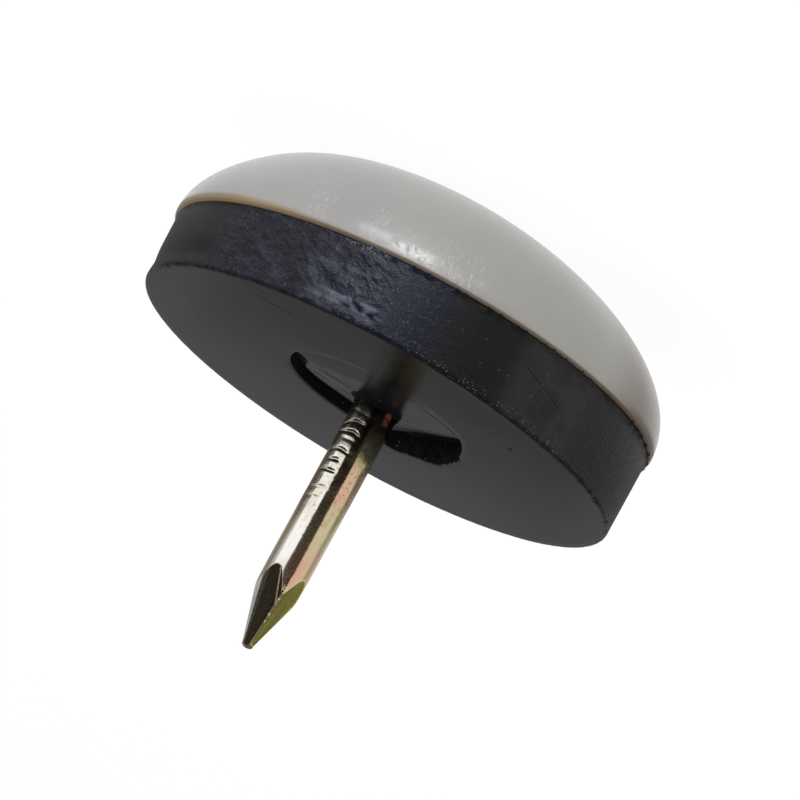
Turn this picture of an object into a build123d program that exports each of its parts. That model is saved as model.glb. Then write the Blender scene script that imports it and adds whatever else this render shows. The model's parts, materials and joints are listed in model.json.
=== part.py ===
from build123d import *
import math
import os

os.makedirs("parts", exist_ok=True)

# Nail-on furniture glide. It stands on the crown of its dome at the origin, and its nail points up +Z.
# Driving dimensions, in millimetres and degrees.

# Plastic dome: half an ellipsoid under an upright land, with a rounded lip where it meets the cushion.
rim_diameter = 31.75
dome_height = 8.2
rim_land = 0.3
rim_lip_radius = 0.25

# Rubber cushion: a disc on the flat of the dome, drawn in a little towards its free face.
cushion_thickness = 4.7
cushion_set_back = 0.2
cushion_draft = 0.06
cushion_edge_radius = 0.2

# Sunken seat round the nail: its floor falls towards one corner, where its round outline is torn out.
# The depth is at the nail's axis, and the slope shares are the depth gained per length along +X and +Y.
# The outline shares are of the seat's radius, every 15 degrees from +X towards +Y.
seat_radius = 5.8
seat_depth = 0.3
seat_slope_share_x = -0.04
seat_slope_share_y = 0.065
seat_outline_shares = (
    0.99, 0.95, 0.91, 0.88, 0.85, 0.85, 0.97, 1.21, 1.16, 1.14, 1.07, 1.02,
    0.99, 1.01, 1.07, 1.13, 1.17, 1.19, 1.18, 1.16, 1.13, 1.10, 1.06, 1.03,
)

# Nail: round wire with a flat head inside the dome, a neck that the gripping dies swelled a little, up to
# the cushion's face, and a four-sided point with drawn-in corners and a small blunt end.
nail_diameter = 2.8
nail_neck_diameter = 3.2
nail_reach = 16.43
nail_anchor_depth = 4.27
nail_head_diameter = 6.5
nail_head_thickness = 1.2
nail_hole_clearance = 0.1
point_length = 5.1
point_end_width = 0.55
point_turn = 30.0
point_corner_draw = 0.1

# Gripper marks: shallow notches pressed into two opposite sides of the shank, above the cushion.
grip_mark_count = 11
grip_mark_pitch = 0.64
grip_mark_start = 0.25
grip_mark_width = 0.36
grip_mark_depth = 0.08
grip_mark_span = 76.0
grip_mark_turn = -54.0

# How far every cutter runs past the surface that it cuts.
overrun = 1.0

# Heights and radii that follow from the driving dimensions.
rim_radius = rim_diameter / 2
nail_radius = nail_diameter / 2
joint_height = dome_height
face_height = joint_height + cushion_thickness
tip_height = face_height + nail_reach
head_height = joint_height - nail_anchor_depth
nail_length = tip_height - head_height


def turned(outline):
    """Revolve a closed outline, drawn in the XZ plane, about the Z axis."""
    return revolve(make_face(outline), axis=Axis.Z)


def make_nail():
    head = Pos(0, 0, head_height) * Cylinder(
        nail_head_diameter / 2, nail_head_thickness, align=(Align.CENTER, Align.CENTER, Align.MIN)
    )
    neck = Pos(0, 0, head_height) * Cylinder(
        nail_neck_diameter / 2, face_height - head_height, align=(Align.CENTER, Align.CENTER, Align.MIN)
    )
    shank = Pos(0, 0, head_height) * Cylinder(
        nail_radius, nail_length, align=(Align.CENTER, Align.CENTER, Align.MIN)
    )
    return head + neck + shank


def cut_point(nail):
    """Trim the end of the shank to four facets, with drawn-in corners, that lean in to a small blunt end."""
    root_height = tip_height - point_length
    root_square = Plane.XY.offset(root_height) * Rectangle(nail_diameter, nail_diameter, rotation=point_turn)
    end_square = Plane.XY.offset(tip_height) * Rectangle(point_end_width, point_end_width, rotation=point_turn)
    facets = loft([root_square, end_square])
    corners = Pos(0, 0, root_height) * Cone(
        nail_radius, nail_radius - point_corner_draw, point_length, align=(Align.CENTER, Align.CENTER, Align.MIN)
    )
    end_blank = Pos(0, 0, root_height) * Cylinder(
        nail_radius + overrun, point_length + overrun, align=(Align.CENTER, Align.CENTER, Align.MIN)
    )
    return nail - (end_blank - (facets & corners))


def cut_grip_marks(nail):
    """Press a row of notches with a V section into two opposite sides of the shank."""
    flare = (grip_mark_width / 2) * (grip_mark_depth + overrun) / grip_mark_depth
    notch = Plane.XZ * make_face(
        Polyline(
            (nail_radius - grip_mark_depth, 0),
            (nail_radius + overrun, flare),
            (nail_radius + overrun, -flare),
            close=True,
        )
    )
    wedge = revolve(notch, axis=Axis.Z, revolution_arc=grip_mark_span)
    first = face_height + grip_mark_start
    for side in (0, 180):
        start_angle = grip_mark_turn + side - grip_mark_span / 2
        for mark in range(grip_mark_count):
            nail -= Pos(0, 0, first + mark * grip_mark_pitch) * Rot(0, 0, start_angle) * wedge
    return nail


def make_dome(nail):
    """Lower half of an ellipsoid, a land, a rounded lip and a flat top, moulded round the nail."""
    crown_depth = dome_height - rim_land
    shell = EllipticalCenterArc((0, crown_depth), rim_radius, crown_depth, start_angle=-90, arc_size=90)
    land = Line((rim_radius, crown_depth), (rim_radius, joint_height - rim_lip_radius))
    lip = RadiusArc(land @ 1, (rim_radius - rim_lip_radius, joint_height), -rim_lip_radius)
    flat = Polyline(lip @ 1, (0, joint_height), shell @ 0)
    dome = turned(Plane.XZ * (shell + land + lip + flat))
    return dome - nail


def make_cushion():
    """Disc with drawn-in sides and a rounded edge, less its nail hole and its sunken seat."""
    joint_radius = rim_radius - cushion_set_back
    face_radius = joint_radius - cushion_draft
    section = Polyline(
        (0, joint_height),
        (joint_radius, joint_height),
        (face_radius, face_height),
        (0, face_height),
        close=True,
    )
    disc = turned(Plane.XZ * section)
    face_edge = disc.edges().filter_by(GeomType.CIRCLE).sort_by(Axis.Z)[-1]
    disc = fillet(face_edge, cushion_edge_radius)
    hole = Pos(0, 0, joint_height) * Cylinder(
        nail_neck_diameter / 2 + nail_hole_clearance,
        cushion_thickness + overrun,
        align=(Align.CENTER, Align.CENTER, Align.MIN),
    )
    return disc - make_seat() - hole


def make_seat():
    """Cutter for the sunken seat: its torn outline, down to a floor that falls towards the torn corner."""
    step = 2 * math.pi / len(seat_outline_shares)
    points = [
        (seat_radius * share * math.cos(i * step), seat_radius * share * math.sin(i * step))
        for i, share in enumerate(seat_outline_shares)
    ]
    outline = Plane.XY.offset(joint_height) * make_face(Spline(points, periodic=True))
    prism = extrude(outline, cushion_thickness + overrun, dir=(0, 0, 1))
    floor = Plane(origin=(0, 0, face_height - seat_depth), z_dir=(seat_slope_share_x, seat_slope_share_y, 1))
    return split(prism, bisect_by=floor, keep=Keep.TOP)


blank_nail = make_nail()
dome = make_dome(blank_nail)
rubber_cushion = make_cushion()
nail = cut_grip_marks(cut_point(blank_nail))

for node, shape in (("dome", dome), ("rubber_cushion", rubber_cushion), ("nail", nail)):
    export_step(shape, f"parts/{node}.step")
    size = shape.bounding_box().size
    print(f"{node}: {len(shape.solids())} solid, {shape.volume:.1f} mm3, "
          f"{size.X:.2f} x {size.Y:.2f} x {size.Z:.2f} mm")
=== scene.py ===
# %% [markdown]
# # A nail-on furniture glide
# A glide is a small foot for a chair or table leg. A hard plastic dome slides on the floor, a rubber disc
# above it takes up knocks, and a plated nail holds both to the leg. The solids of the three pieces come in
# as a fixed frame. This lesson gives each one the mesh detail and the finish that a close look shows.

# %% Load the frame
import json
import math

import bpy
import numpy as np
from mathutils import Matrix, Vector, noise


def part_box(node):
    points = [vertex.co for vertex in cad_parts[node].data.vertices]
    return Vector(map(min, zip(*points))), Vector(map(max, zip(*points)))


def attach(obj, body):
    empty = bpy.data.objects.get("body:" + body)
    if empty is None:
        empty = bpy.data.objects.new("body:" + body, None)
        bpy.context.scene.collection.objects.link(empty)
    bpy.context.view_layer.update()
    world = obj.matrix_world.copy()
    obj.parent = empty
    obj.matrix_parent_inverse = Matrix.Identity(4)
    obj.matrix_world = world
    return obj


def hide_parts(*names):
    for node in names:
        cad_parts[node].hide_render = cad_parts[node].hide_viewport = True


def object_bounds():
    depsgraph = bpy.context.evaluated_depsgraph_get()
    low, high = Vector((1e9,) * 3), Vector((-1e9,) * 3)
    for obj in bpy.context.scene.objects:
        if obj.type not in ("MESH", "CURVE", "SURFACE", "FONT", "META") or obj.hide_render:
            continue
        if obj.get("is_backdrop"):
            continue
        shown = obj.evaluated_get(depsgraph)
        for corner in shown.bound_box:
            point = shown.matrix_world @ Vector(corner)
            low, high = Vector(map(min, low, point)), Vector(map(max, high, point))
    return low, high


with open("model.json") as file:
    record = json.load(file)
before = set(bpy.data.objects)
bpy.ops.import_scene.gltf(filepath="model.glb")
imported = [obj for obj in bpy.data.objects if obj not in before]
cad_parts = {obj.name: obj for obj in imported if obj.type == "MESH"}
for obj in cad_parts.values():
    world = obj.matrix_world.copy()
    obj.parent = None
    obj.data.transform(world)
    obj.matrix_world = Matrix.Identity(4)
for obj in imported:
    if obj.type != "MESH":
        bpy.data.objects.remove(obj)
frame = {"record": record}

MM = 0.001
cad_low, cad_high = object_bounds()
print("frame box in mm:", [round(v / MM, 2) for v in (*cad_low, *cad_high)])

# %% [markdown]
# ## Sizes
# Blender works in metres here. The main heights and radii are read from the frame, so the meshes land where
# the solids are. The small sizes that a box can't give, such as a rounding, are written in millimetres.

# %% Sizes from the frame
dome_low, dome_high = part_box("dome")
_, cushion_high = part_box("rubber_cushion")
nail_low, nail_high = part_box("nail")
rim_radius = min(dome_high.x, dome_high.y, -dome_low.y)
joint_height = dome_high.z
face_height = cushion_high.z
joint_radius = cushion_high.x
head_height = nail_low.z
head_radius = nail_high.x
tip_height = nail_high.z
shank = next(m for m in frame["record"]["mounts"] if m["name"] == "nail_shank")
nail_radius = shank["dims"]["r_mm"] * MM
NECK_RADIUS = 1.6 * MM
HEAD_THICKNESS = 1.2 * MM
NAIL_HOLE_RADIUS = 1.7 * MM
print(f"rim {rim_radius / MM:.2f} mm, joint at {joint_height / MM:.2f}, face at {face_height / MM:.2f}")

# %% [markdown]
# ## A skin over rings
# All three pieces are round, so each mesh is a stack of rings of points, joined by quads. A ring may bulge
# or dip, which is how wrinkles, tears and facets get in. This could also be done with a Screw modifier, but
# that can't vary round the axis.

# %% Skin helpers
def mesh_object(name, points, faces):
    """A new object with a mesh of these points and faces."""
    mesh = bpy.data.meshes.new(name)
    mesh.from_pydata(points, [], faces)
    piece = bpy.data.objects.new(name, mesh)
    bpy.context.collection.objects.link(piece)
    return piece


def skin(name, rings, pole_first=None, pole_last=None, loop=False):
    """Join rings of points, shaped (ring, point, xyz), with quads; poles or a loop close the ends."""
    rings = np.asarray(rings, dtype=float)
    count, around, _ = rings.shape
    points = [tuple(p) for p in rings.reshape(-1, 3)]
    faces = []
    last = count if loop else count - 1
    for i in range(last):
        low, high = i * around, ((i + 1) % count) * around
        for j in range(around):
            k = (j + 1) % around
            faces.append((low + j, low + k, high + k, high + j))
    for pole, base, flip in ((pole_first, 0, True), (pole_last, (count - 1) * around, False)):
        if pole is None:
            continue
        points.append(tuple(pole))
        tip = len(points) - 1
        for j in range(around):
            a, b = base + j, base + (j + 1) % around
            faces.append((b, a, tip) if flip else (a, b, tip))
    piece = mesh_object(name, points, faces)
    piece.data.validate()
    piece.data.shade_smooth()
    print(f"{name}: {len(points)} points, {len(faces)} faces")
    return piece


def lathe(section, around):
    """Rings of one section, a list of (radius, height), turned about the Z axis."""
    section = np.asarray(section)
    turn = np.linspace(0, 2 * np.pi, around, endpoint=False)
    radius, height = section[:, :1], section[:, 1:]
    x, y = radius * np.cos(turn), radius * np.sin(turn)
    return np.stack([x, y, np.broadcast_to(height, x.shape)], axis=-1)


def arc(centre, radius, start, end, count):
    """Points of a circle's arc in a section, angles in degrees."""
    turn = np.radians(np.linspace(start, end, count))
    return [(centre[0] + radius * math.cos(t), centre[1] + radius * math.sin(t)) for t in turn]


print("one ring of eight points has the shape", lathe([(1, 0)], 8).shape)

# %% [markdown]
# ## The dome
# The dome is moulded plastic. Its section is a quarter of an ellipse, then a short upright land, then a
# rounded lip over the joint. Inside, the plastic follows the head and neck of the nail. One section, turned
# about the axis, gives all of it, and it is smooth enough that only the rim needs close rings.

# %% Section of the dome
RIM_LAND = 0.3 * MM
RIM_LIP = 0.25 * MM
DOME_RINGS = 90
RING_CROWDING = 0.8
DOME_AROUND = 288
crown_depth = joint_height - RIM_LAND
head_top = head_height + HEAD_THICKNESS
quarter = np.radians(90 * np.linspace(0, 1, DOME_RINGS + 1)[1:] ** RING_CROWDING)
dome_section = [(rim_radius * math.sin(t), crown_depth * (1 - math.cos(t))) for t in quarter]
dome_section += arc((rim_radius - RIM_LIP, joint_height - RIM_LIP), RIM_LIP, 0, 90, 9)
dome_section += [(r, joint_height) for r in np.linspace(rim_radius - RIM_LIP, NECK_RADIUS, 6)[1:]]
dome_section += [(NECK_RADIUS, head_top), (head_radius, head_top), (head_radius, head_height)]
print(f"dome section: {len(dome_section)} points, crown {crown_depth / MM:.2f} mm deep")

# %% [markdown]
# A moulding is never quite the drawn curve. On its +X side this one is a tenth of a millimetre fuller by the
# crown and flatter at the shoulder, and its crown sits a little off the axis. A lattice could bend it so,
# but moving each point along its own normal keeps the rim where it is.

# %% Build the dome
CROWN_SHIFT = 0.7 * MM
FULLER = 0.11 * MM
dome_rings = lathe(dome_section, DOME_AROUND)
outer = dome_rings[:len(quarter)]
half_axes = np.array([rim_radius, rim_radius, crown_depth])
out = outer / half_axes ** 2 - np.array([0, 0, 1 / crown_depth])
out /= np.linalg.norm(out, axis=-1, keepdims=True)
low = np.cos(quarter)[:, None]
plus_side = 0.5 + 0.5 * outer[:, :, 0] / np.hypot(outer[:, :, 0], outer[:, :, 1])
outer += out * (-FULLER * np.sin(2 * np.pi * low ** 1.5) * plus_side)[:, :, None]
outer[:, :, 0] += CROWN_SHIFT * low ** 3
dome = skin("glide_dome", dome_rings, pole_first=(CROWN_SHIFT, 0, 0), pole_last=(0, 0, head_height))
dome.data.set_sharp_from_angle(angle=math.radians(50))

# %% [markdown]
# ## Round patterns
# Rubber never looks turned. Its side is crumpled, and the seat round the nail is torn. Both need numbers
# that run smoothly round the axis and meet where they started. Sampling a noise on a circle gives that.

# %% Round noise
AROUND = 600
NOISE_FALLOFF = 0.8
NOISE_STEP = 2.0
turn = np.linspace(0, 2 * np.pi, AROUND, endpoint=False)
# Bearing is the angle from the -Y side, where the viewer stands, towards +X, in degrees.
bearing = np.degrees((turn + np.pi / 2 + np.pi) % (2 * np.pi) - np.pi)


def noise_at(points, scale, seed, octaves=1):
    """Noise between about -1 and 1 at points in metres, with features about 1 / scale metres wide."""
    places = [Vector(p) * scale + Vector((seed, 2 * seed, 3 * seed)) for p in points]
    if octaves == 1:
        return np.array([noise.noise(p) for p in places])
    return np.array([noise.fractal(p, NOISE_FALLOFF, NOISE_STEP, octaves) for p in places])


def ring_points(radius, height):
    """Points of one ring; radius and height are numbers or one value for each point."""
    x, y = radius * np.cos(turn), radius * np.sin(turn)
    return np.stack([x, y, np.broadcast_to(height, turn.shape)], axis=-1)


def ring_radius(ring):
    """Radius of each point of a ring."""
    return np.hypot(ring[:, 0], ring[:, 1])


def ease(value):
    """Smooth step from 0 to 1."""
    value = np.clip(value, 0, 1)
    return value * value * (3 - 2 * value)


def bump_window(value, low, high, soft):
    """One between low and high, fading to zero over soft on both sides."""
    return ease(np.minimum((value - low) / soft + 1, (high - value) / soft + 1))


print(f"{AROUND} points round, bearings from {bearing.min():.1f} to {bearing.max():.1f} degrees")

# %% [markdown]
# ## The sunken seat
# Round the nail the rubber is sunk in a shallow dish, whose round outline is torn out on one side with a
# ragged edge. The outline is a share of the dish's radius every 15 degrees, made smooth by a Catmull-Rom
# curve, and the tear adds fine noise. A boolean cut could make the dish too, but rings that follow the
# outline keep its wall steep without a dense grid.

# %% Outline of the seat
SEAT_RADIUS = 5.8 * MM
SEAT_SHARES = np.array([
    0.99, 0.95, 0.91, 0.88, 0.85, 0.85, 0.97, 1.21, 1.16, 1.14, 1.07, 1.02,
    0.99, 1.01, 1.07, 1.13, 1.17, 1.19, 1.18, 1.16, 1.13, 1.10, 1.06, 1.03,
])
TEAR_RAGGED = 0.22 * MM
OUTLINE_WAVER = 0.05 * MM


def smooth_round(shares):
    """Catmull-Rom curve through shares spread evenly round the axis, at every point of a ring."""
    place = turn / (2 * np.pi) * len(shares)
    i = place.astype(int)
    f = place - i
    a, b, c, d = (shares[(i + k) % len(shares)] for k in (-1, 0, 1, 2))
    return b + 0.5 * f * (c - a + f * (2 * a - 5 * b + 4 * c - d + f * (3 * (b - c) + d - a)))


torn = bump_window(np.degrees(turn), 98, 172, 12)
plain_edge = SEAT_RADIUS * smooth_round(SEAT_SHARES)
ragged = noise_at(ring_points(plain_edge, 0), 1000, 3, 3)
waver = noise_at(ring_points(plain_edge, 0), 500, 5)
seat_edge = plain_edge + torn * ragged * TEAR_RAGGED + waver * OUTLINE_WAVER
print(f"seat edge from {seat_edge.min() / MM:.2f} to {seat_edge.max() / MM:.2f} mm")

# %% [markdown]
# The floor of the dish falls a little away from the viewer. In the torn corner it rolls off softly into a
# pit, and behind the nail a moat runs along the wall. Depths are sums of smooth steps, so that each can be
# set by itself. The pit's near side is one slanted line, which the rubber's painted shade uses again further
# down.

# %% Depth of the seat, in millimetres
FLOOR_DEPTH, FLOOR_SLOPE_X, FLOOR_SLOPE_Y = 0.16, -0.02, 0.035
PIT_DEPTH, PIT_START, PIT_LENGTH = 0.95, -0.4, 4.4
PIT_SKEW, PIT_OFFSET, PIT_WIDTH, PIT_ROLL = 1.5, 3.9, 4.6, 1.5
LUMP_HEIGHT, LUMPS_FROM = 0.03, -2


def pit_line(x, y):
    """Distance in mm past the near side of the pit, for numbers or for shader fields."""
    return y - x * PIT_SKEW - PIT_OFFSET


def seat_depth(points):
    """Depth of the dish's floor: none by the viewer, a little behind the nail, most in the torn corner."""
    x, y = points[:, 0] / MM, points[:, 1] / MM
    floor = FLOOR_DEPTH + FLOOR_SLOPE_X * x + FLOOR_SLOPE_Y * y
    reach = np.clip(pit_line(x, y) / PIT_WIDTH, 0, 1)
    pit = PIT_DEPTH * ease((PIT_START - x) / PIT_LENGTH) * ease(reach ** PIT_ROLL)
    lumps = noise_at(points, 700, 7, 2) * LUMP_HEIGHT * ease(y - LUMPS_FROM)
    return np.clip(floor + pit + lumps, 0.0, None) * MM


deepest = seat_depth(ring_points(seat_edge, 0)).max()
print(f"the seat is up to {deepest / MM:.2f} mm deep at its wall")

# %% Moat of the seat
MOAT_DEPTH = 0.42 * MM
MOAT_ROLL = 0.09 * MM
MOAT_ROLL_LENGTH = 1.0 * MM
MOAT_BANK = 0.2 * MM
MOAT_RIPPLE = 0.12 * MM
MOAT_FIRST_WIDTH = 0.6 * MM
MOAT_MORE_WIDTH = 0.85 * MM
moat_turn = np.degrees((turn + np.pi / 2) % (2 * np.pi)) - 90
moat_run = bump_window(moat_turn, -20, 112, 5)
moat_width = MOAT_FIRST_WIDTH * np.sqrt(np.clip((moat_turn + 25) / 8, 0, 1))
moat_width = moat_width + MOAT_MORE_WIDTH * ease((moat_turn + 5) / 45)
moat_ripple = noise_at(ring_points(seat_edge, 0), 800, 43) * MOAT_RIPPLE


def moat_depth(inward):
    """Extra depth of the moat at a distance inward from the wall."""
    past = inward + moat_ripple - moat_width
    roll = MOAT_ROLL * (1 - np.clip(past / MOAT_ROLL_LENGTH, 0, 1)) ** 2
    return moat_run * (MOAT_DEPTH * (1 - ease(past / MOAT_BANK)) + roll)


print(f"moat up to {moat_width.max() / MM:.2f} mm wide")

# %% [markdown]
# ## The rubber cushion
# The disc was cut a little out of true: it is thinner on the +X side. A stretch of its side, to one side of
# the viewer, is crumpled like creased skin, with a pinched fold near the face. Elsewhere it is nearly
# smooth. Ragged flash curls down over the dome's lip. This could be sculpted by hand, but a formula for each
# ring can be read and changed. The rings start at the joint and go up the side.

# %% Side of the cushion
CUSHION_DRAFT = 0.06 * MM
EDGE_ROUND = 0.2 * MM
JOINT_ROUND = 0.1 * MM
CREASE_DEPTH = 0.13 * MM
FAINT_DEPTH = 0.01 * MM
FOLD_DEPTH, FOLD_SHARE, FOLD_WIDTH = 0.16 * MM, 0.85, 0.05
WAIST_DEPTH, WAIST_SHARE, WAIST_WIDTH = 0.08 * MM, 0.8, 0.14
FLASH_REACH, FLASH_WIDTH, FLASH_DROOP = 0.36 * MM, 0.03, 0.8
SIDE_RINGS = 58


def side_dip(points, share):
    """How far the side lies inside its plain cone; share runs from 0 at the joint to 1 at the face."""
    crumpled = bump_window(bearing, 15, 44, 11)
    creases = np.abs(noise_at(points, 1100, 11, 2)) * 0.6 + np.abs(noise_at(points, 420, 13)) * 0.7
    faint = (noise_at(points, 260, 17) + 1) * FAINT_DEPTH
    fold_line = FOLD_SHARE + 0.02 * np.sin(np.radians(bearing * 9))
    fold = np.exp(-((share - fold_line) / FOLD_WIDTH) ** 2) * bump_window(bearing, 12, 22, 4)
    waist = np.exp(-((share - WAIST_SHARE) / WAIST_WIDTH) ** 2) * bump_window(bearing, 62, 120, 20)
    return crumpled * CREASE_DEPTH * creases + faint + fold * FOLD_DEPTH + waist * WAIST_DEPTH


side_rise = face_height - EDGE_ROUND - joint_height - JOINT_ROUND
flash = (noise_at(ring_points(joint_radius, joint_height), 3400, 31, 3) - 0.02).clip(0) * FLASH_REACH
flash = np.minimum(flash, rim_radius - joint_radius) * (0.3 + 0.7 * bump_window(bearing, -100, 14, 12))
rings = [ring_points(joint_radius - JOINT_ROUND, joint_height)]
for share in np.linspace(0, 1, SIDE_RINGS):
    height = joint_height + JOINT_ROUND + share * side_rise
    plain = joint_radius - CUSHION_DRAFT * share
    dip = side_dip(ring_points(plain, height), share)
    ragged_edge = flash * math.exp(-(share / FLASH_WIDTH) ** 2)
    rings.append(ring_points(plain - dip + ragged_edge, height - FLASH_DROOP * ragged_edge))
print(f"flash reaches out by up to {flash.max() / MM:.2f} mm")

# %% [markdown]
# The edge of the face is rounded, and on the near side it is chipped: there the rings are drawn in by a
# noise. The face itself is flat but for a faint wave. Its rings slide from the outer edge to the outline of
# the seat.

# %% Edge and face of the cushion
CHIP_DEPTH = 0.13 * MM
RIM_ROUND = 0.1 * MM
FACE_WAVE = 0.012 * MM
FACE_RINGS = 24
side_end = ring_radius(rings[-1])
chips = (noise_at(ring_points(side_end, face_height), 2300, 19, 3) + 0.1).clip(0) * CHIP_DEPTH
chips = chips * (0.2 + 0.8 * bump_window(bearing, -85, 75, 15))
for t in np.radians((22, 45, 68, 90)):
    radius = side_end - EDGE_ROUND * (1 - math.cos(t)) - chips * math.sin(t)
    drop = EDGE_ROUND * (1 - math.sin(t)) + 0.5 * chips * math.cos(t)
    rings.append(ring_points(radius, face_height - drop))
face_edge = ring_radius(rings[-1])
for share in np.linspace(0, 1, FACE_RINGS)[1:]:
    flat = ring_points(face_edge + (seat_edge + RIM_ROUND - face_edge) * share, face_height)
    flat[:, 2] -= (noise_at(flat, 180, 23) + 1) * FACE_WAVE
    rings.append(flat)
print(f"chips up to {chips.max() / MM:.2f} mm, {len(rings)} rings so far")

# %% [markdown]
# From the seat's rim the rings go down the torn wall, which is rough, and over the floor of the dish towards
# the nail.

# %% Wall and floor of the seat
WALL_LEAN = 0.2
WALL_ROUGH = 0.03 * MM
TEAR_ROUGH = 0.17 * MM
SHALLOW = 0.3 * MM
WALL_RINGS = 12
FLOOR_RINGS = 24
COLLAR_RADIUS = 1.55 * MM
NAIL_SHIFT = -0.13 * MM
wall_top = face_height - 2 * FACE_WAVE
depth = seat_depth(ring_points(seat_edge, 0)) + moat_depth(0)
rim_round = np.minimum(0.5 * RIM_ROUND, depth * 0.3)
for t in np.radians((30, 60, 90)):
    radius = seat_edge + rim_round * (1 - math.sin(t))
    rings.append(ring_points(radius, wall_top - rim_round * (1 - math.cos(t))))
for share in np.linspace(0, 1, WALL_RINGS)[1:]:
    fall = rim_round + (depth - rim_round) * share
    wall = ring_points(seat_edge - WALL_LEAN * (fall - rim_round), wall_top - fall)
    rough = noise_at(wall, 1500, 29, 2) * (WALL_ROUGH + TEAR_ROUGH * torn)
    rough = rough * math.sin(math.pi * min(share, 0.9)) * ease(depth / SHALLOW)
    rings.append(ring_points(ring_radius(wall) + rough, wall_top - fall))
floor_edge = ring_radius(rings[-1])
for share in np.linspace(0, 1, FLOOR_RINGS)[1:]:
    flat = ring_points(floor_edge + (COLLAR_RADIUS - floor_edge) * share, wall_top)
    flat[:, 2] -= seat_depth(flat) + moat_depth((floor_edge - COLLAR_RADIUS) * share)
    flat[:, 0] += NAIL_SHIFT * share ** 3
    rings.append(flat)
print(f"wall up to {depth.max() / MM:.2f} mm deep, {len(rings)} rings so far")

# %% [markdown]
# A low, uneven collar grips the nail. Inside it the rings go down the nail hole, and the last one joins the
# first. The whole disc is then sheared, so that its face leans while its joint stays flat.

# %% Collar and hole of the cushion
COLLAR_RISE = 0.36 * MM
COLLAR_UNEVEN = 0.6
COLLAR_SECTION = ((1.52, 0.2), (1.5, 0.55), (1.48, 0.85), (1.44, 1.0), (1.39, 0.9), (1.39, 0.1))
HOLE_DROP = 0.2 * MM
FACE_LEAN = -0.0278
mouth = rings[-1][:, 2]
uneven = 1 + COLLAR_UNEVEN * noise_at(ring_points(COLLAR_RADIUS, 0), 700, 37, 2)
for radius, rise in COLLAR_SECTION:
    collar = ring_points(radius * MM, mouth + rise * COLLAR_RISE * uneven)
    collar[:, 0] += NAIL_SHIFT
    rings.append(collar)
rings.append(ring_points(NAIL_HOLE_RADIUS, mouth - HOLE_DROP))
rings.append(ring_points(NAIL_HOLE_RADIUS, joint_height))
rings = np.array(rings)
lift = (rings[:, :, 2] - joint_height) / (face_height - joint_height)
rings[:, :, 2] += FACE_LEAN * rings[:, :, 0] * lift
cushion = skin("rubber_cushion_skin", rings, loop=True)
cushion.data.set_sharp_from_angle(angle=math.radians(55))

# %% [markdown]
# ## The nail
# The nail is drawn wire. Gripping dies left rows of notches on two sides near the pad, and pinching cutters
# left a point with four flat facets, a narrow bevel beside one of them and a ragged burr where two of them
# meet. In a section across the point the facets make a square with rounded corners, so the radius at any
# angle is the lesser of the wire's and the square's. The nail also leans by less than a degree.

# %% Section of the nail
NAIL_AROUND = 192
POINT_TURN = math.radians(30)
CORNER_POWER = 8
NAIL_LEAN = 0.0099
wire_turn = POINT_TURN + np.linspace(0, 2 * np.pi, NAIL_AROUND, endpoint=False)


def square_radius(half_width):
    """Radius at each angle of a square section, with rounded corners, whose first side faces POINT_TURN."""
    across, along = np.abs(np.cos(wire_turn - POINT_TURN)), np.abs(np.sin(wire_turn - POINT_TURN))
    return half_width / (across ** CORNER_POWER + along ** CORNER_POWER) ** (1 / CORNER_POWER)


def soft_min(a, b, soft):
    """The lesser of a and b, with the corner between them rounded over soft."""
    blend = np.clip(0.5 + 0.5 * (b - a) / soft, 0, 1)
    return b + (a - b) * blend - soft * blend * (1 - blend)


def away_from(angle):
    """Angle of each point of a nail ring from a direction, between minus and plus half a turn."""
    return (wire_turn - angle + np.pi) % (2 * np.pi) - np.pi


def wire_ring(radius, height):
    """One ring of the nail, shifted for its lean; radius is a number or one value for each point."""
    above = np.clip((height - joint_height) / (face_height - joint_height), 0, 1)
    shift = NAIL_SHIFT * above + NAIL_LEAN * max(height - face_height, 0)
    x, y = radius * np.cos(wire_turn) + shift, radius * np.sin(wire_turn)
    return np.stack([x, y, np.full(NAIL_AROUND, height)], axis=-1)


lean_degrees = math.degrees(math.atan(NAIL_LEAN))
print(f"wire of {2 * nail_radius / MM:.1f} mm, leaning by {lean_degrees:.2f} degrees")

# %% [markdown]
# No two notches are alike: each has its own depth, span, tilt and place, from a noise that is read at its
# number. Here they are dips in the radius. A Boolean with twenty wedges would be slower and too regular.

# %% Notches of the nail
GRIP_TURN = math.radians(-54)
GRIP_SPAN = math.radians(35)
GRIP_PITCH = 0.64 * MM
GRIP_COUNT = 11
GRIP_START = face_height + 0.25 * MM
GRIP_DEPTH = 0.052 * MM
GRIP_WIDTH = 0.24 * MM
GRIP_TILT = 0.25 * MM
GRIP_BOW = 0.16 * MM
GRIP_WANDER = 0.035 * MM


def grip_dip(height):
    """Depth of the gripper notches at each angle of one ring."""
    dip = np.zeros(NAIL_AROUND)
    for side in (0, math.pi):
        away = away_from(GRIP_TURN + side) / GRIP_SPAN
        for mark in range(GRIP_COUNT):
            uneven = noise.noise(Vector((mark * 1.7, side, 0.5)))
            tilt = GRIP_TILT * noise.noise(Vector((mark * 2.3, side, 4.5)))
            span = 0.85 + 0.5 * noise.noise(Vector((mark * 1.9, side, 8.5)))
            window = np.clip(1 - ((away - 0.3 * uneven) / span) ** 2, 0, 1)
            fade = min(1.0, 1.45 - 1.1 * mark / GRIP_COUNT) * (0.6 + 0.9 * uneven)
            bend = GRIP_BOW * away ** 2 + tilt * away + GRIP_WANDER * np.sin(away * 4 + mark * 2.1)
            middle = GRIP_START + (mark + 0.4 * uneven) * GRIP_PITCH + bend
            notch = np.exp(-((height - middle) / (GRIP_WIDTH / 2)) ** 2)
            dip = np.maximum(dip, window * notch * fade * GRIP_DEPTH)
    return dip


print(f"notches up to {grip_dip(GRIP_START).max() / MM:.3f} mm deep at the first mark")

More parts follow.
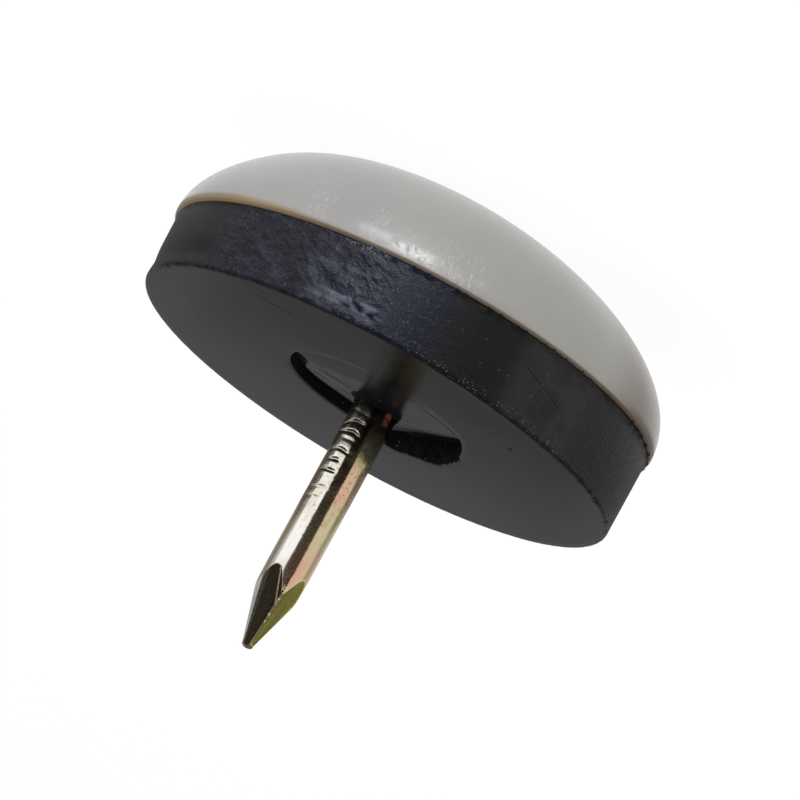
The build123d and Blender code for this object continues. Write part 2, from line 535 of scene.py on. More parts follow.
# %% [markdown]
# Drawn wire is no perfect cylinder, so each ring wobbles a little and has faint dents near the pad. The rings
# lie close where the notches and facets need them.

# %% Rings of the shank and the point
POINT_LENGTH = 5.1 * MM
POINT_END = 0.5 * MM
POINT_BLEND = 0.4 * MM
CORNER_DRAW = 0.1 * MM
FACET_SOFT = 0.03 * MM
BEVEL_SHARE, BEVEL_TURN, BEVEL_SOFT = 1.1, math.radians(-46), 0.01 * MM
BURR_HEIGHT, BURR_TURN, BURR_WIDTH = 0.09 * MM, math.radians(-105), 0.07
WOBBLE = 0.006 * MM
DENT_DEPTH, DENT_REACH = 0.02 * MM, 9 * MM


def point_radius(below_tip, height):
    """Radius at each angle of the point: facets, drawn-in corners, bevel and burr."""
    half_end = POINT_END / 2
    half_width = half_end + (nail_radius - half_end) / POINT_LENGTH * below_tip
    drawn = CORNER_DRAW * np.clip(1 - below_tip / POINT_LENGTH, 0, 1)
    wire = np.full(NAIL_AROUND, nail_radius - drawn)
    radius = soft_min(wire, square_radius(half_width), FACET_SOFT)
    bevel = BEVEL_SHARE * half_width / np.maximum(np.cos(away_from(BEVEL_TURN)), 0.1)
    radius = soft_min(radius, np.maximum(bevel, half_end), BEVEL_SOFT)
    ridge = np.exp(-(away_from(BURR_TURN) / BURR_WIDTH) ** 2)
    ragged = 0.1 + noise.noise(Vector((0.2, 0.4, height / MM * 3.4)))
    return np.minimum(radius + ridge * BURR_HEIGHT * max(ragged, 0), nail_radius)


def nail_ring(height):
    """One ring of the shank or the point."""
    below_tip = tip_height - height
    radius = np.full(NAIL_AROUND, nail_radius)
    if below_tip < POINT_LENGTH + POINT_BLEND:
        radius = point_radius(below_tip, height)
    seeds = [Vector((math.cos(t) * 1.3, math.sin(t) * 1.3, height / MM * 0.5)) for t in wire_turn]
    wobble = np.array([noise.noise(v) for v in seeds])
    fading = max(0.0, 1 - (height - face_height) / DENT_REACH)
    dents = np.array([noise.noise(v * 2.3) for v in seeds]) * fading
    worn = WOBBLE * (1 + wobble) + DENT_DEPTH * (1 + dents)
    return wire_ring(radius - grip_dip(height) - worn, height)


middle_ring = nail_ring(tip_height - POINT_LENGTH / 2)
print(f"half way up the point it is {np.ptp(middle_ring[:, 0]) / MM:.2f} mm wide")

# %% Build the nail
RING_STEP = 0.045 * MM
TIP_ROUND = 0.24 * MM
TIP_NARROWING = 0.75
head_section = ((head_radius, head_height), (head_radius, head_top), (NECK_RADIUS, head_top))
neck_heights = (joint_height, face_height - 1.6 * MM, face_height - 0.8 * MM)
nail_rings = [wire_ring(r, z) for r, z in head_section]
nail_rings += [wire_ring(NECK_RADIUS, z) for z in neck_heights]
marks_end = GRIP_START + GRIP_COUNT * GRIP_PITCH
point_start = tip_height - POINT_LENGTH - POINT_BLEND
heights = np.concatenate([
    np.arange(face_height - 0.7 * MM, marks_end, RING_STEP),
    np.linspace(marks_end, point_start, 24, endpoint=False),
    np.arange(point_start, tip_height - TIP_ROUND, RING_STEP),
])
nail_rings += [nail_ring(z) for z in heights]
end_ring = nail_rings[-1]
end_middle = end_ring.mean(axis=0)
for share in (0.35, 0.65, 0.85, 1.0):
    inward = 1 - (1 - math.sqrt(1 - share ** 2)) * TIP_NARROWING
    ring = end_middle + (end_ring - end_middle) * inward
    ring[:, 2] = tip_height - TIP_ROUND * (1 - share)
    nail_rings.append(ring)
tip_point = (end_middle[0], end_middle[1], tip_height)
nail = skin("plated_nail", nail_rings, pole_first=(0, 0, head_height), pole_last=tip_point)
nail.data.set_sharp_from_angle(angle=math.radians(40))

# %% [markdown]
# ## Shader maths as Python
# A finish is a small formula over the surface. Written as nodes one by one, it is hard to read. This class
# wraps an output socket, so that an expression such as 1 - mask * 0.5 adds its own Math nodes, and one
# method makes any other node.

# %% Socket class
class Field:
    """An output socket that takes part in Python expressions."""

    def __init__(self, tree, socket):
        self.tree = tree
        self.socket = socket

    def make(self, kind, settings=None, sockets=None, out=0):
        """Add a node of any kind: its settings first, then values or links for its sockets."""
        node = self.tree.nodes.new(kind)
        for key, value in (settings or {}).items():
            setattr(node, key, value)
        for key, value in (sockets or {}).items():
            if isinstance(value, Field):
                self.tree.links.new(value.socket, node.inputs[key])
            else:
                node.inputs[key].default_value = value
        return Field(self.tree, node.outputs[out])

    def also(self, out):
        """Another output of the node that this one comes from."""
        return Field(self.tree, self.socket.node.outputs[out])

    def math(self, operation, *values, clamp=False):
        settings = {"operation": operation, "use_clamp": clamp}
        return self.make("ShaderNodeMath", settings, dict(enumerate(values)))

    def __add__(self, other):
        return self.math("ADD", self, other)

    def __radd__(self, other):
        return self.math("ADD", other, self)

    def __sub__(self, other):
        return self.math("SUBTRACT", self, other)

    def __rsub__(self, other):
        return self.math("SUBTRACT", other, self)

    def __mul__(self, other):
        return self.math("MULTIPLY", self, other)

    def __rmul__(self, other):
        return self.math("MULTIPLY", other, self)

    def __truediv__(self, other):
        return self.math("DIVIDE", self, other)

    def __rtruediv__(self, other):
        return self.math("DIVIDE", other, self)

    def clip(self):
        return self.math("ADD", self, 0.0, clamp=True)

    def smooth(self, low, high):
        """Zero at low, one at high, with a soft run between."""
        return self.make(
            "ShaderNodeMapRange", {"interpolation_type": "SMOOTHSTEP"},
            {"Value": self, "From Min": low, "From Max": high, "To Min": 0.0, "To Max": 1.0},
        )

    def band(self, low, high, soft):
        """One between low and high, fading to zero over soft outside them."""
        return self.smooth(low - soft, low) * (1 - self.smooth(high, high + soft))

    def line(self, width, fade):
        """One where the value is within width of zero, gone at fade."""
        return 1 - self.math("ABSOLUTE", self).smooth(width, fade)

    def noise(self, vector, scale, detail=2.0, roughness=0.5, distortion=0.0):
        return self.make("ShaderNodeTexNoise", None, {
            "Vector": vector, "Scale": scale, "Detail": detail,
            "Roughness": roughness, "Distortion": distortion,
        })

    def mix(self, factor, first, second):
        """A colour that goes from first to second; each is a colour or another field."""
        return self.make("ShaderNodeMix", {"data_type": "RGBA"}, {0: factor, 6: first, 7: second}, out=2)

    def xyz(self):
        """The three parts of a vector."""
        first = self.make("ShaderNodeSeparateXYZ", None, {0: self})
        return [first, first.also(1), first.also(2)]

    def stretch(self, x, y, z):
        """A vector with each part scaled."""
        return self.make("ShaderNodeVectorMath", {"operation": "MULTIPLY"}, {0: self, 1: (x, y, z)})

    def vector(self, x, y, z):
        return self.make("ShaderNodeCombineXYZ", None, {0: x, 1: y, 2: z})

    def upward(self):
        """How far the surface faces up: 1 for a floor, 0 for a wall."""
        return self.make("ShaderNodeNewGeometry", out="Normal").xyz()[2]


print("reflected operators:", sum(n.startswith("__r") for n in vars(Field)))

# %% Finish helpers
def srgb(red, green, blue):
    """Linear colour of 0 to 255 screen values."""
    def linear(v):
        v /= 255
        return v / 12.92 if v <= 0.04045 else ((v + 0.055) / 1.055) ** 2.4
    return (linear(red), linear(green), linear(blue), 1.0)


def new_finish(name):
    """A material with an empty Principled shader; returns it, the shader and the place field in mm."""
    material = bpy.data.materials.new(name)
    material.use_nodes = True
    tree = material.node_tree
    shader = tree.nodes["Principled BSDF"]
    place = Field(tree, tree.nodes.new("ShaderNodeTexCoord").outputs["Object"])
    return material, shader, place.stretch(1 / MM, 1 / MM, 1 / MM)


def bearing_of(x, y):
    """Angle in degrees from the -Y side towards +X."""
    return x.math("ARCTAN2", x, y * -1) * math.degrees(1)


def feed(shader, field, socket):
    """Link a field to one of the shader's inputs."""
    field.tree.links.new(field.socket, shader.inputs[socket])


def bump(field, strength, distance):
    """Normal from a height field; distance is in metres."""
    return field.make("ShaderNodeBump", None, {"Strength": strength, "Distance": distance, "Height": field})


def coats(base, *layers):
    """Screen colours mixed over a base, one after the other; a layer is a mask and a colour."""
    for mask, colour in layers:
        base = base.mix(mask, base, srgb(*colour))
    return base


print("screen grey 128 is", round(srgb(128, 128, 128)[0], 3), "in linear light")

# %% [markdown]
# ## Dome plastic
# The plastic is a warm light grey with a soft gloss. It is clean but not new: fine scratches run towards
# the crown, and near the joint a cloud of rubbed marks is painted lighter, partly wear and partly a painted
# highlight where the shine falls. Image textures could carry these, but a noise that is stretched along the
# height needs no file and no seam.

# %% Wear and painted highlight on the dome
plastic, plastic_shader, place = new_finish("dome_plastic")
x, y, height = place.xyz()
angle = bearing_of(x, y)
below = joint_height / MM - height
scratches = place.noise(place.vector(angle * 1.8, height * 0.6, 0.0), 2.2, 4.0, 0.7).smooth(0.54, 0.64)
rubbed = place.noise(place, 3.4, 5.0, 0.75, 1.2).smooth(0.5, 0.7)
scratch_zone = (
    angle.band(30, 34, 2) * below.band(0.6, 2.0, 0.5)
    + angle.band(17, 20, 2) * below.band(0.5, 2.2, 0.5)
    + angle.band(-7, 3, 3) * below.band(0.4, 2.2, 0.7) * 0.7
    + angle.band(-19, -18, 0.7) * below.band(0.4, 0.6, 0.2) * 0.7
).clip()
# Painted highlight: the rubbed cloud lies where the shine falls, and is painted lighter there as well as
# bumped.
rub_and_highlight_zone = angle.band(3, 15, 8) * below.band(0.3, 1.8, 0.8)
wear_and_highlight = (scratches * scratch_zone + rubbed * rub_and_highlight_zone * 0.3).clip()
print("dome wear:", len(plastic.node_tree.nodes), "nodes")

# %% [markdown]
# Towards the -X end the grey turns a little greener and darker, then browner and darker still: that darkening
# is painted shade. The lip over the joint is thin, so light passes through it and it turns amber, most of all
# on the +X side. A thin brown line along the joint is painted shade under the lip. All this is colour and
# roughness; only the wear is bumped.

# %% Make the dome plastic
cloud = place.noise(place, 0.22, 3.0)
grain = place.noise(place, 5.0, 4.0, 0.6)
# Painted shade: the -X end of the dome is painted darker and browner.
shaded_brown_end = angle.smooth(-170, -105) * (1 - angle.smooth(-61, -42)) * 0.95
amber_edge = 1 - (below - angle.smooth(20, 60) * 0.14).smooth(0.12, 0.48)
amber_edge = amber_edge * angle.band(42, 110, 28)
# Painted shade: a thin brown line along the joint, under the lip.
joint_shade_line = (1 - below.smooth(0.1, 0.27)) * (1 - angle.band(45, 110, 25) * 0.6)
grey = coats(
    place.mix(cloud.smooth(0.3, 0.7), srgb(177, 175, 173), srgb(183, 181, 178)),
    # Painted shade in part: the greener, darker band towards the -X end.
    (angle.band(-120, -35, 60) * 0.6, (166, 165, 156)),
    (shaded_brown_end, (120, 107, 96)),
    # Lighter wear colour: real scratches, and in the rubbed cloud partly a painted highlight.
    (wear_and_highlight * 0.8, (230, 230, 232)),
    (amber_edge * 0.85, (162, 136, 92)),
    (joint_shade_line * 0.85, (98, 78, 57)),
)
feed(plastic_shader, grey, "Base Color")
feed(plastic_shader, 0.2 + grain * 0.06 - wear_and_highlight * 0.04, "Roughness")
dome_relief = scratches * scratch_zone * 0.6 + rubbed * rub_and_highlight_zone
feed(plastic_shader, bump(dome_relief, 0.4, 0.03 * MM), "Normal")
plastic_shader.inputs["IOR"].default_value = 1.5
dome.data.materials.append(plastic)
print("dome plastic:", len(plastic.node_tree.nodes), "nodes")

# %% [markdown]
# ## Black rubber
# The rubber is nearly black. Its side is bluish where it is creased, navy beside that, deep black in one
# stretch and pale with dust in another. The inside of the tear and the collar are raw and matt, and they,
# the deep dish and the pit's near edge are painted near black as shade. Separate materials could be set face
# by face, but masks from the place and from the mesh's own normal blend softly.

# %% Regions of the rubber
rubber, rubber_shader, place = new_finish("black_rubber")
face_mm, joint_mm, tip_mm = face_height / MM, joint_height / MM, tip_height / MM
x, y, height = place.xyz()
angle = bearing_of(x, y)
share = (height - joint_mm) / (face_mm - joint_mm)
radius = place.make("ShaderNodeVectorMath", {"operation": "LENGTH"}, {0: place.stretch(1, 1, 0)}, out=1)
facing_up = place.upward()
inside = 1 - radius.smooth(9.0, 10.0)
sunk = face_mm - height + x * FACE_LEAN
# Painted shade: tear walls, collar, deep dish and the pit's near edge go near black; the raw rubber is matt
# too.
torn_wall = inside * (1 - facing_up.smooth(0.8, 0.96))
collar_ring = 1 - radius.smooth(1.62, 1.72)
pit_edge_shade = (PIT_START - x).smooth(0, 3) * pit_line(x, y).smooth(0, 2.2) * sunk.smooth(0.05, 0.15)
raw_and_shaded = (torn_wall + collar_ring + inside * (sunk.smooth(0.4, 0.6) + pit_edge_shade * 0.8)).clip()
side = (1 - inside) * (1 - facing_up.smooth(0.5, 0.9))
creased = angle.smooth(5, 17) * (1 - angle.smooth(46, 60)) * side
navy = angle.band(0, 14, 9) * side
deep = angle.band(-19, -8, 7) * side
# Painted shade: both ends of the side, away from the viewer's stretch, are painted darker.
shaded_ends = (1 - angle.band(-44, 50, 8)) * side
pale = angle.band(-41, -26, 6) * side
print("rubber regions:", len(rubber.node_tree.nodes), "nodes")

# %% [markdown]
# The creases run slantwise, so their noise is read along two slanted axes. Dust is a cell pattern of which
# only a share of the cells is kept, thickest along the edge of the face.

# %% Patterns of the rubber
along = height * 0.45 - angle * 0.244
across = height * 0.89 + angle * 0.123
crumple = place.noise(place.vector(along * 0.7, across * 1.2, 0.0), 1.3, 5.0, 0.58, 0.4)
clumps = place.noise(place.vector(along * 0.7, across, 0.0), 0.55, 2.0, 0.5)
fine_grain = place.noise(place, 8.0, 5.0, 0.7)
smears = place.noise(place.stretch(1, 0.4, 1), 0.35, 5.0, 0.65, 1.2)
# Painted sheen: lighter bluish patches on the crumpled creases, where they would catch the light.
crease_sheen = crumple.smooth(0.47, 0.64) * clumps.smooth(0.36, 0.6) * creased
crease_sheen = crease_sheen * (1 - angle.smooth(22, 42) * 0.55)


def dust_and_glints(scale, size, kept):
    """Specks on a share of the cells of a cell pattern; size is in mm."""
    cells = place.make("ShaderNodeTexVoronoi", None, {"Vector": place, "Scale": scale})
    chance = cells.also("Color").xyz()[0]
    return (1 - cells.smooth(size * scale * 0.5, size * scale)) * chance.smooth(1 - kept, 1.02 - kept)


specks = dust_and_glints(3.4, 0.045, 0.14) * 0.6 + dust_and_glints(8.0, 0.036, 0.4) * share.smooth(0.86, 0.98)
# Painted glints and highlight: lighter dots on a fine grit, a streak along the fold, and specks near the
# joint and on the creases.
grit_glints = place.noise(place, 3.8, 3.0, 0.6).smooth(0.56, 0.68) * (creased * 0.6 + navy * 0.7).clip()
fold_highlight = share.band(0.72, 0.8, 0.05) * angle.band(11, 20, 5) * crumple.smooth(0.42, 0.58) * side
glints = (1 - share.smooth(0.03, 0.13)) * angle.band(14, 21, 3) * fine_grain.smooth(0.5, 0.6) * side
glints = glints + fine_grain.smooth(0.57, 0.66) * clumps.smooth(0.4, 0.6) * creased * 0.5
print("rubber patterns:", len(rubber.node_tree.nodes), "nodes")

# %% [markdown]
# Three marks belong to this one piece: a long nick across the side, a wavy scuff and a dot on the face. A
# thin dark arc along the near rim of the dish is painted shade. Each is a thin band round a line or a point.

# %% Marks and painted rim shade on the rubber
DISH_RIM = 5.95
nick_line = share - 0.377 + (angle + 25.4) * 0.0172
nick = nick_line.line(0.004, 0.012) * angle.band(-37.5, -25.4, 0.6) * side
wave = y + 9.2 + place.noise(place, 0.7, 3.0, 0.6) * 1.4
scuff = wave.line(0.06, 0.24) * x.band(6.9, 9.0, 0.5) * (1 - side)
dot_spot = {0: place.stretch(1, 0.6, 0), 1: (-8.1, -4.6, 0)}
dot = place.make("ShaderNodeVectorMath", {"operation": "DISTANCE"}, dot_spot, out=1)
# Painted shade: a thin dark arc along the dish's near rim.
rim_shade_arc = (radius - DISH_RIM).line(0.05, 0.14) * angle.band(-53, -28, 6)
marks_and_rim_shade = (scuff * 0.3 + rim_shade_arc * 0.5 + (1 - dot.smooth(0.08, 0.2))).clip()
print("rubber marks:", len(rubber.node_tree.nodes), "nodes")

# %% [markdown]
# The face has a dull shine with cloudy smears, as from handling. It is painted blackest by the viewer and
# greyer on the far side, as shade. The colours go on in layers, from the wide regions to the small marks.

# %% Make the rubber
mottle = smears * 0.5 + place.noise(place.stretch(1, 0.4, 1), 1.6, 4.0, 0.7) * 0.5
mottle = mottle.smooth(0.4, 0.6)
shaded_near_face = place.mix(mottle, srgb(5, 5, 6), srgb(18, 18, 20))
far_face = place.mix(mottle, srgb(41, 41, 46), srgb(51, 50, 56))
plain_side = place.mix(angle.smooth(-12, 4), srgb(21, 21, 22), srgb(20, 21, 28))
# Painted shade: the face runs from black by the viewer to grey on the far side.
face = place.mix(y.smooth(-14, 14), shaded_near_face, far_face)
black = coats(
    place.mix(side, face, plain_side),
    (creased * 0.7, (28, 28, 40)),
    (navy * 0.85, (15, 18, 39)),
    ((deep + shaded_ends).clip() * 0.8, (12, 12, 14)),
    (pale * smears.smooth(0.3, 0.6) * 0.8, (42, 42, 43)),
    (crease_sheen * 0.75, (74, 77, 93)),
    (grit_glints * 0.38, (72, 76, 95)),
    ((fold_highlight * 0.65 + glints).clip() * 0.7, (140, 146, 162)),
    (specks.clip() * side * 0.55, (180, 182, 182)),
    # Painted shade in the hollows and on the rim arc; the nick, scuff and dot are real marks.
    ((raw_and_shaded + nick + marks_and_rim_shade).clip(), (12, 11, 13)),
    # Painted glints: a few light specks in the dark hollows.
    (dust_and_glints(3.2, 0.05, 0.14) * raw_and_shaded * 0.4, (170, 168, 164)),
)
feed(rubber_shader, black, "Base Color")
gloss = 0.2 + smears * 0.08 + side * 0.07 - crease_sheen * 0.06 + raw_and_shaded * 0.5 + marks_and_rim_shade * 0.4
feed(rubber_shader, gloss, "Roughness")
relief = crumple * creased * 1.3 + fine_grain * (0.04 + side * 0.26 - navy * 0.14)
relief = relief - nick * 0.2 - marks_and_rim_shade * 0.06 + grit_glints * 0.12
feed(rubber_shader, bump(relief, 0.7, 0.25 * MM), "Normal")
rubber_shader.inputs["Specular IOR Level"].default_value = 0.25
cushion.data.materials.append(rubber)
print("rubber:", len(rubber.node_tree.nodes), "nodes")

# %% [markdown]
# ## Yellow plating
# Zinc plate with a yellow passivation film is a metal whose tint wanders between straw, green and pink. It
# could be made with a thin-film setting, but the export drops a linked film. So the tint is mixed from a few
# colours, by a noise that is stretched along the nail, by height and by the angle round the leaning wire.

# %% Film on the wire
plating, plating_shader, place = new_finish("yellow_plating")
x, y, height = place.xyz()
above = height - face_mm
from_tip = height - tip_mm
x = x - NAIL_SHIFT / MM - above * NAIL_LEAN
angle = bearing_of(x, y)
film = place.vector(x, y, height * 0.28)
streaks = place.noise(film, 1.0, 2.0, 0.5, 0.4)
bands = above.band(4.3, 6.1, 0.9) + above.band(9.9, 12.0, 1.0)
pink = (bands * 0.45 + streaks.smooth(0.47, 0.57) * angle.smooth(-46, -28) * 0.5).clip()
green = place.noise(film, 1.4, 2.0, 0.5, 0.4).smooth(0.46, 0.6) * (1 - angle.smooth(-54, -32))
green = (green * (1 - bands) * 0.6 + above.band(2.8, 3.6, 0.5) * 0.5).clip()
warm = place.mix(pink, srgb(229, 216, 178), srgb(240, 192, 166))
warm = place.mix(green, warm, srgb(176, 182, 112))
silver = place.mix(streaks.smooth(0.4, 0.6), srgb(246, 243, 236), srgb(232, 226, 210))
tint = place.mix(angle.smooth(-6, 12), warm, silver)
tint = place.mix(angle.smooth(42, 60), tint, srgb(156, 140, 112))
print("film:", len(plating.node_tree.nodes), "nodes")

# %% [markdown]
# The facets of the point were cut after drawing, and each took the film in its own way: one is olive, one
# dark and one bright. A pinched fold crosses the dark one. The mesh's normal tells the facets from the wire.

# %% Facets of the point
point = from_tip.smooth(-5.6, -5.2) * place.upward().smooth(0.08, 0.16)
ridge = point * angle.band(-19, -12, 2)
fold = (x - 0.48 + (from_tip + 5.05) * 0.355).line(0.02, 0.06)
fold = fold * from_tip.band(-5.0, -2.7, 0.1) * point
pits = place.noise(place, 4.5, 5.0, 0.65)
tint = coats(
    tint,
    (point * (1 - angle.smooth(-17, -14)), (184, 178, 92)),
    (point * angle.band(-12, 46, 3) * 0.8, (150, 134, 100)),
    (point * angle.smooth(45, 50), (240, 238, 232)),
    (fold * angle.smooth(-15, -11), (240, 204, 196)),
    (ridge * pits.smooth(0.45, 0.6) * 0.8, (206, 204, 200)),
)
print("facets:", len(plating.node_tree.nodes), "nodes")

# %% [markdown]
# Towards the rubber the film is stained, and just above the rubber it is painted dark as shade. A reddish
# speck shows at the base; there the Metallic value falls too.

# %% Make the plating
stain = pits.smooth(0.52, 0.68) * (1 - above.smooth(6, 11))
# Painted shade: the lowest few millimetres darken, all round and higher on one side.
shade = (1 - above.smooth(1.0, 4.2)) * (1 - angle.smooth(0, 12))
foot_shade = 1 - above.smooth(0.2, 1.7)
# A reddish speck at the base, which is no metal.
red_speck = angle.band(-44, -33, 9) * above.band(0.3, 0.7, 0.5) * (0.3 + pits.smooth(0.4, 0.6) * 0.5)
tint = coats(
    tint,
    (stain * 0.5, (88, 74, 56)),
    (shade * 0.85, (62, 52, 28)),
    (foot_shade * 0.9, (34, 27, 22)),
    (red_speck, (158, 84, 70)),
)
feed(plating_shader, tint, "Base Color")
feed(plating_shader, 1 - red_speck * 0.9, "Metallic")
feed(plating_shader, 0.08 + pits * 0.09 + foot_shade * 0.2 + fold * 0.5 + ridge * 0.3, "Roughness")
feed(plating_shader, bump(pits, 0.1, 0.05 * MM), "Normal")
nail.data.materials.append(plating)
print("plating:", len(plating.node_tree.nodes), "nodes")

# %% [markdown]
# ## Tie the meshes to the frame
# Each mesh stands for one solid of the frame. Nothing moves on a glide, so all three ride on the root.

# %% Ride on the root
for piece, node, slot in (
    (dome, "dome", "dome_plastic"),
    (cushion, "rubber_cushion", "cushion_rubber"),
    (nail, "nail", "nail_plating"),
):
    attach(piece, "root")
    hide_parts(node)
    print(piece.name, "stands for", node)

# %% [markdown]
# ## Floor
# The floor is pale and plain. Most of what the camera sees of it is its own glow, so that it comes out
# white, and the rest is matt paint, which keeps the shadow. Mirrors see the same white floor.

# %% Floor
FLOOR_HALF = 1.5
GLOW_SHARE = 0.85
GLOW_STRENGTH = 1.12
SQUARE = ((-1, -1), (1, -1), (1, 1), (-1, 1))
ONE_FACE = [(0, 1, 2, 3)]


def empty_paint(piece, name):
    """An empty material on a piece; returns its tree and the socket for its surface."""
    paint = bpy.data.materials.new(name)
    paint.use_nodes = True
    paint.node_tree.nodes.clear()
    piece.data.materials.append(paint)
    output = paint.node_tree.nodes.new("ShaderNodeOutputMaterial")
    return paint.node_tree, output.inputs["Surface"]


floor = mesh_object("floor", [(x * FLOOR_HALF, y * FLOOR_HALF, 0) for x, y in SQUARE], ONE_FACE)
floor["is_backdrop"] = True
tree, surface = empty_paint(floor, "pale_floor")
camera_ray = Field(tree, tree.nodes.new("ShaderNodeLightPath").outputs["Is Camera Ray"])
seen = (camera_ray + camera_ray.also("Is Glossy Ray") + camera_ray.also("Is Transmission Ray")).clip()
matt = seen.make("ShaderNodeBsdfDiffuse", None, {"Color": (0.85, 0.85, 0.85, 1)})
glow = seen.make("ShaderNodeEmission", None, {"Color": (1, 1, 1, 1), "Strength": GLOW_STRENGTH})
sheet = seen.make("ShaderNodeMixShader", None, {0: seen * GLOW_SHARE, 1: matt, 2: glow})
tree.links.new(sheet.socket, surface)
print("floor", 2 * FLOOR_HALF, "m wide")

# %% [markdown]
# ## Cards for the shiny surfaces
# A bright metal looks like what stands round it. A photographer lays cards beside the white sweep to shape
# that. Here they are seen by mirror rays only, so they change nothing else. Bearings are in degrees from the
# viewer's side.

# %% Card helpers
CARD_STEPS = 24


def card(name, points, faces, grey):
    """A card that only mirror rays see."""
    sheet = mesh_object(name, points, faces)
    tree, surface = empty_paint(sheet, name)
    light = tree.nodes.new("ShaderNodeEmission")
    light.inputs["Color"].default_value = (*grey, 1)
    tree.links.new(light.outputs[0], surface)
    for kind in ("camera", "diffuse", "transmission", "volume_scatter", "shadow"):
        setattr(sheet, "visible_" + kind, False)
    sheet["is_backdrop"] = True


def toward(bearing_deg, elevation_deg=0.0):
    """Direction from the glide at a bearing from the viewer's side and an elevation."""
    b, e = math.radians(bearing_deg), math.radians(elevation_deg)
    return Vector((math.sin(b) * math.cos(e), -math.cos(b) * math.cos(e), math.sin(e)))


def floor_card(name, start, end, near, far, grey, rise):
    """A flat card, a sector of a ring, lying just above the floor."""
    steps = [start + (end - start) * i / CARD_STEPS for i in range(CARD_STEPS + 1)]
    points = [tuple(toward(b) * r + Vector((0, 0, rise))) for b in steps for r in (near, far)]
    faces = [(2 * i, 2 * i + 1, 2 * i + 3, 2 * i + 2) for i in range(CARD_STEPS)]
    card(name, points, faces, grey)


def standing_card(name, bearing_deg, elevation_deg, distance, half, grey):
    """A square card that faces the nail's point."""
    away = toward(bearing_deg, elevation_deg)
    middle = Vector((0, 0, tip_height)) + away * distance
    across = away.cross(Vector((0, 0, 1))).normalized()
    rise = across.cross(away)
    points = [tuple(middle + across * x * half + rise * y * half) for x, y in SQUARE]
    card(name, points, ONE_FACE, grey)


print("straight ahead is", tuple(round(v, 3) for v in toward(0)))

# %% [markdown]
# On the floor, black and dark cards in front give the nail its dark streak, and dull, grey and dim ones at
# the sides and behind give its edges. Small bright ones close by make the shine on the dome next to the
# joint. The standing cards serve the facets of the point and the sheen of the rubber's face.

# %% Lay the cards
NEAR, MIDDLE, FAR = 0.034, 0.085, 0.25
LOW, UPPER, TOP = 0.0003, 0.0004, 0.0005
for row in (
    ("black_card", 22, -34, NEAR, MIDDLE, (0.015, 0.014, 0.012), LOW),
    ("dark_card", 22, -34, MIDDLE, FAR, (0.075, 0.067, 0.055), LOW),
    ("dull_card", -34, -92, NEAR, FAR, (0.72, 0.71, 0.68), LOW),
    ("grey_card", 84, 268, NEAR, MIDDLE, (0.23, 0.215, 0.21), LOW),
    ("pale_card", 84, 268, MIDDLE, FAR, (0.6, 0.6, 0.62), LOW),
    ("dim_card", 232, 264, NEAR, MIDDLE, (0.155, 0.145, 0.13), UPPER),
    ("dim_far_card", 232, 264, MIDDLE, FAR, (0.42, 0.41, 0.4), UPPER),
    ("shine_card", 6, 20, 0.024, 0.037, (12.5, 12.9, 13.5), TOP),
    ("glow_card", 7, 18, 0.037, 0.043, (4.5, 4.65, 4.8), TOP),
    ("line_card", 20, 30, 0.024, 0.029, (7.0, 7.2, 7.5), TOP),
):
    floor_card(*row)
for row in (
    ("point_card", 59, 8, 0.2, 0.09, (0.02, 0.018, 0.015)),
    ("front_card", 14, 16, 0.35, 0.19, (0.02, 0.02, 0.02)),
    ("bevel_card", 98, 6, 0.2, 0.05, (0.45, 0.45, 0.45)),
    ("back_card", 180, 12, 0.4, 0.22, (0.285, 0.285, 0.295)),
    ("shade_card", 180, 11.5, 0.04, 0.014, (0.12, 0.12, 0.123)),
):
    standing_card(*row)

# %% [markdown]
# ## Light
# The viewer looks from just above the rubber's face, head down, so the light that shapes the dome has to
# come from low in front. A wide soft box stands there, one stands on each side, and one hangs overhead. Only
# the box on the left is seen by mirror rays: it puts glints on the creased rubber and on the notches. A
# faint one lies on the floor and faces up, as a light table does, to lift the shade under the dome.

# %% Lamps
WORLD_STRENGTH = 0.22


def soft_box(name, direction, distance, size, radiance, colour=(1, 1, 1), glossy=False):
    """An area lamp that faces the glide from a bearing and an elevation; size is its width and height."""
    lamp = bpy.data.lights.new(name, "AREA")
    lamp.shape = "RECTANGLE"
    lamp.size, lamp.size_y = size
    lamp.energy = radiance * math.pi * size[0] * size[1]
    lamp.color = colour
    box = bpy.data.objects.new(name, lamp)
    bpy.context.collection.objects.link(box)
    away = toward(*direction)
    box.location = Vector((0, 0, joint_height)) + away * distance
    box.rotation_euler = away.to_track_quat("Z", "Y").to_euler()
    box.visible_camera = False
    box.visible_glossy = glossy
    return box


soft_box("front_box", (6, 9), 0.30, (0.30, 0.08), 3.2)
soft_box("left_box", (62, 16), 0.28, (0.20, 0.14), 1.8, (0.95, 0.97, 1.0), glossy=True)
soft_box("right_box", (-62, 16), 0.28, (0.18, 0.14), 1.1, (1.0, 0.97, 0.93))
soft_box("top_box", (0, 80), 0.45, (0.30, 0.30), 1.6)
under_box = soft_box("under_box", (8, -20), 0.022, (0.05, 0.036), 0.17)
under_box.rotation_euler = (math.pi, 0, 0)

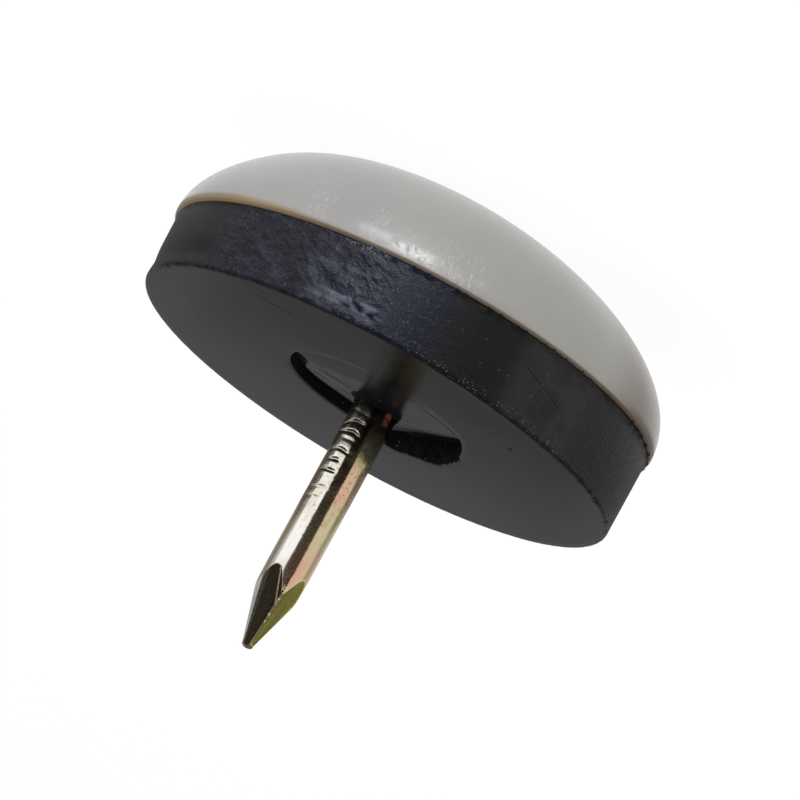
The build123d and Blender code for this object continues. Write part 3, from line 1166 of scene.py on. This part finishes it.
world = bpy.data.worlds.new("studio")
bpy.context.scene.world = world
world.use_nodes = True
background = world.node_tree.nodes["Background"]
background.inputs["Color"].default_value = (1, 1, 1, 1)
background.inputs["Strength"].default_value = WORLD_STRENGTH

# %% [markdown]
# ## Camera
# The picture is taken with a long lens, from 13.9 degrees above the rubber's face, with the glide head down:
# the nail points to the lower left. So the camera is turned about its own line of sight, and its aim is set
# off a little so that the middle of the face falls where it does in the picture.

# %% Camera
PICTURE = 800
PIXELS_PER_MM = 16.94
ELEVATION = math.radians(13.86)
ROLL = math.radians(28.17)
FACE_PIXEL = (374.8, 408.1)
DISTANCE = 0.6
SENSOR = 36.0
side_axis = Vector((1, 0, 0))
rise_axis = Vector((0, math.sin(ELEVATION), math.cos(ELEVATION)))
back_axis = Vector((0, -math.cos(ELEVATION), math.sin(ELEVATION)))
right = -math.cos(ROLL) * side_axis - math.sin(ROLL) * rise_axis
up = math.sin(ROLL) * side_axis - math.cos(ROLL) * rise_axis
off_right = (PICTURE / 2 - FACE_PIXEL[0]) / PIXELS_PER_MM * MM
off_up = (FACE_PIXEL[1] - PICTURE / 2) / PIXELS_PER_MM * MM
aim = Vector((0, 0, face_height)) + right * off_right + up * off_up
lens = bpy.data.cameras.new("camera")
lens.sensor_width = SENSOR
lens.lens = SENSOR * PIXELS_PER_MM * (DISTANCE / MM) / PICTURE
lens.clip_start, lens.clip_end = 0.01, 10.0
camera = bpy.data.objects.new("camera", lens)
bpy.context.collection.objects.link(camera)
axes = Matrix((right, up, back_axis)).transposed()
camera.matrix_world = Matrix.Translation(aim + back_axis * DISTANCE) @ axes.to_4x4()
bpy.context.scene.camera = camera
bpy.context.scene.view_settings.view_transform = "Standard"
print(f"lens {lens.lens:.0f} mm at {DISTANCE} m")

# %% [markdown]
# ## The meshes are meant to stay within the solids, so both boxes are compared and the growth is printed.
# The meshes may not grow past the solids, so both boxes are written down and compared.

# %% Growth past the solids
new_low, new_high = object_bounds()
growth = [a - b for a, b in zip((*new_low, *new_high), (*cad_low, *cad_high))]
print("growth in mm:", [round(v / MM, 3) for v in growth])
